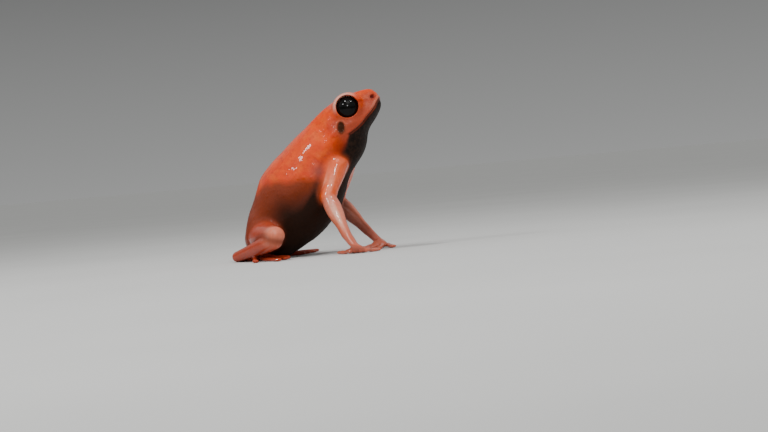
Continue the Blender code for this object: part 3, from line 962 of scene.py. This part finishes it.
class Nodes:
    """Short calls for making a material's nodes."""

    def __init__(self, name):
        self.material = bpy.data.materials.new(name)
        self.material.use_nodes = True
        self.tree = self.material.node_tree
        self.shader = self.tree.nodes["Principled BSDF"]
        self.place = self.add("ShaderNodeTexCoord").outputs["Object"]

    def add(self, kind, **values):
        node = self.tree.nodes.new(kind)
        for key, value in values.items():
            setattr(node, key, value)
        return node

    def link(self, source, target):
        self.tree.links.new(source, target)

    def value(self, name):
        node = self.add("ShaderNodeAttribute", attribute_name=name)
        return node.outputs["Fac"]

    def noise(self, scale, detail=3.0, roughness=0.5):
        node = self.add("ShaderNodeTexNoise")
        node.inputs["Scale"].default_value = scale
        node.inputs["Detail"].default_value = detail
        node.inputs["Roughness"].default_value = roughness
        self.link(self.place, node.inputs["Vector"])
        return node.outputs["Fac"]

    def set(self, **values):
        """Sets the shader's own sockets. Underscores stand for the spaces in their names."""
        for name, value in values.items():
            self.shader.inputs[name.replace("_", " ")].default_value = value

    def feed(self, value, socket):
        """Links an output to the socket, or sets the socket to a number or colour."""
        if hasattr(value, "is_linked"):
            self.link(value, socket)
        elif isinstance(value, tuple):
            socket.default_value = (*value, 1)
        else:
            socket.default_value = value

    def mix(self, amount, first, second):
        node = self.add("ShaderNodeMix", data_type="RGBA")
        self.feed(amount, node.inputs[0])
        self.feed(first, node.inputs[6])
        self.feed(second, node.inputs[7])
        return node.outputs[2]

    def tint(self, colour, rows):
        """Lays the colours of the rows over colour, each by its mask and share."""
        for mask, share, laid in rows:
            amount = self.value(mask)
            if share < 1:
                amount = self.math("MULTIPLY", amount, share)
            colour = self.mix(amount, colour, laid)
        return colour

    def math(self, operation, first, second):
        node = self.add("ShaderNodeMath", operation=operation)
        self.feed(first, node.inputs[0])
        self.feed(second, node.inputs[1])
        return node.outputs[0]

    def span(self, value, low, high, to_low=0.0, to_high=1.0):
        """The value between low and high, mapped to the other span and held at its ends."""
        node = self.add("ShaderNodeMapRange")
        for socket, number in zip(node.inputs[1:5], (low, high, to_low, to_high)):
            socket.default_value = number
        self.link(value, node.inputs[0])
        return node.outputs[0]

    def bump(self, height, distance, strength, normal=None):
        node = self.add("ShaderNodeBump")
        node.inputs["Strength"].default_value = strength
        node.inputs["Distance"].default_value = distance
        self.link(height, node.inputs["Height"])
        if normal is not None:
            self.link(normal, node.inputs["Normal"])
        return node.outputs["Normal"]


def skin_colour(make, broad, fine):
    """The mottled orange back with everything that is laid over it, painted shade and painted highlights
    among them.
    """
    patches = make.span(broad, 0.35, 0.65)
    orange = make.mix(patches, *BACK_ORANGE)
    pale_spots = make.span(make.noise(PALE_SPOTS), 0.5, 0.68, 0.0, 0.5)
    orange = make.mix(pale_spots, orange, SPOT_PALE)
    dark_spots = make.span(make.noise(DARK_SPOTS), 0.54, 0.7, 0.0, 0.45)
    orange = make.mix(dark_spots, orange, SPOT_DARK)
    throat = make.mix(make.span(fine, 0.4, 0.6), *THROAT_DARK_AND_SHADE)
    coral = make.mix(patches, *LIMB_CORAL)
    colour = make.tint(orange, TRUNK_TINTS)
    colour = make.mix(make.value("throat"), colour, throat)
    colour = make.tint(colour, ARMPIT_SHADOW_TINTS)
    colour = make.mix(make.value("limb"), colour, coral)
    colour = make.tint(colour, LIMB_TINTS + FACE_TINTS)
    freckled = make.add("ShaderNodeVectorMath", operation="SCALE")
    make.link(colour, freckled.inputs[0])
    make.link(make.span(fine, 0.35, 0.65, 0.93, 1.04), freckled.inputs["Scale"])
    return freckled.outputs[0]


def skin_relief(make):
    """Pores with wrinkles over them."""
    pores = make.add("ShaderNodeTexVoronoi", feature="SMOOTH_F1")
    pores.inputs["Scale"].default_value = PORES
    make.link(make.place, pores.inputs["Vector"])
    relief = make.bump(pores.outputs["Distance"], PORE_DEPTH, 0.35)
    return make.bump(make.noise(WRINKLES), WRINKLE_DEPTH, 0.3, relief)


def skin_material():
    make = Nodes("wet_frog_skin")
    inputs = make.shader.inputs
    broad = make.noise(BROAD_PATTERN, 2.0)
    fine = make.noise(FINE_PATTERN, 4.0)
    make.link(skin_colour(make, broad, fine), inputs["Base Color"])
    dull = make.value("deep")
    for mask, share in DULL_PARTS:
        dull = make.math("MAXIMUM", dull, make.math("MULTIPLY", make.value(mask), share))
    roughness = make.span(broad, 0.3, 0.7, 0.34, 0.44)
    make.link(make.math("ADD", roughness, make.math("MULTIPLY", dull, 0.35)), inputs["Roughness"])
    dry = make.math("MULTIPLY", make.math("MAXIMUM", dull, make.value("dry")), 0.93)
    wet = make.span(make.value("limb"), 0.0, 1.0, 0.5, 0.9)
    make.link(make.math("MULTIPLY", wet, make.math("SUBTRACT", 1.0, dry)), inputs["Coat Weight"])
    make.link(skin_relief(make), inputs["Normal"])
    make.set(Coat_Roughness=0.05, Coat_IOR=1.5, Specular_IOR_Level=0.1)
    make.set(Subsurface_Weight=0.12, Subsurface_Radius=(1.0, 0.35, 0.15), Subsurface_Scale=0.0006)
    return make.material


def eye_material():
    make = Nodes("black_eye")
    tone = make.mix(make.span(make.noise(700, 2.0), 0.4, 0.6), *EYE_BLACK)
    make.link(tone, make.shader.inputs["Base Color"])
    make.set(Roughness=0.04, Specular_IOR_Level=0.03, Coat_Weight=0.25, Coat_Roughness=0.02)
    return make.material


def studio():
    """A wide pale floor, and a backdrop that meets it in its own tone and is palest high up."""
    mesh = bpy.data.meshes.new("floor")
    bm = bmesh.new()
    bmesh.ops.create_circle(bm, cap_ends=True, radius=FLOOR_RADIUS, segments=96)
    bm.to_mesh(mesh)
    bm.free()
    floor = add_object("floor", mesh)
    make = Nodes("pale_floor")
    speck = make.mix(make.span(make.noise(14, 2.0), 0.3, 0.7), *FLOOR_GREY)
    make.link(speck, make.shader.inputs["Base Color"])
    make.set(Roughness=0.9, Specular_IOR_Level=0.0)
    mesh.materials.append(make.material)
    world = bpy.data.worlds.new("studio")
    world.use_nodes = True
    tree = world.node_tree
    place = tree.nodes.new("ShaderNodeTexCoord")
    split = tree.nodes.new("ShaderNodeSeparateXYZ")
    ramp_node = tree.nodes.new("ShaderNodeValToRGB")
    tree.links.new(place.outputs["Generated"], split.inputs[0])
    tree.links.new(split.outputs["Z"], ramp_node.inputs[0])
    stops = ramp_node.color_ramp.elements
    while len(stops) < len(SKY_TONES):
        stops.new(1.0)
    for stop, (height, tone) in zip(stops, SKY_TONES):
        stop.position = height
        stop.color = (tone, tone * 1.01, tone, 1)
    tree.links.new(ramp_node.outputs[0], tree.nodes["Background"].inputs["Color"])
    bpy.context.scene.world = world


def overhead_light():
    """A wide soft sun, high on the camera's side."""
    light = bpy.data.lights.new("overhead", "SUN")
    light.energy = OVERHEAD_STRENGTH
    light.angle = OVERHEAD_WIDTH
    obj = add_object("overhead", light)
    obj.rotation_euler = Vector(OVERHEAD_HEADING).to_track_quat("-Z", "Y").to_euler()


def softbox(name, place, width, power):
    """A round lamp that faces the frog."""
    light = bpy.data.lights.new(name, "AREA")
    light.shape = "ELLIPSE"
    light.size = width
    light.size_y = width
    light.energy = power
    obj = add_object(name, light)
    obj.location = place
    obj.rotation_euler = (Vector(LAMP_TARGET) - Vector(place)).to_track_quat("-Z", "Y").to_euler()


def add_camera(shift):
    """The camera of the photo's view, from the frog's right and a little ahead."""
    flat_right = Vector((cos(CAMERA_AZIMUTH), sin(CAMERA_AZIMUTH), 0))
    back = Vector((
        sin(CAMERA_AZIMUTH) * cos(CAMERA_ELEVATION),
        -cos(CAMERA_AZIMUTH) * cos(CAMERA_ELEVATION),
        sin(CAMERA_ELEVATION),
    ))
    flat_up = back.cross(flat_right)
    right = flat_right * cos(CAMERA_ROLL) - flat_up * sin(CAMERA_ROLL)
    up = flat_up * cos(CAMERA_ROLL) + flat_right * sin(CAMERA_ROLL)
    target = shift + (right * PICTURE_RIGHT + up * PICTURE_UP) * MM
    lens = bpy.data.cameras.new("camera")
    lens.lens = LENS
    lens.sensor_width = SENSOR
    lens.clip_start = 0.01
    lens.clip_end = 100
    camera = add_object("camera", lens)
    axes = Matrix((right, up, back)).transposed().to_4x4()
    camera.matrix_world = Matrix.Translation(target + back * (CAMERA_DISTANCE * MM)) @ axes
    bpy.context.scene.camera = camera


def main():
    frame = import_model()
    low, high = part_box("eye_right")
    shift = (Vector(low) + Vector(high)) / 2 - placed(EYE_CENTRE, SIDES["right"]) * MM

    skin = build_skin()
    to_row_frame(skin, shift)
    skin.data.materials.clear()
    skin.data.materials.append(skin_material())
    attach(skin, "root")
    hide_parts(*[name for name in frame["nodes"] if not name.startswith("eye")])
    wet_black = eye_material()
    for name, side in SIDES.items():
        eye = build_eye(name, side)
        to_row_frame(eye, shift)
        eye.data.materials.append(wet_black)
        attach(eye, "root")
        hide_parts(f"eye_{name}")

    studio()
    overhead_light()
    for lamp in LAMPS:
        softbox(*lamp)
    add_camera(shift)


main()
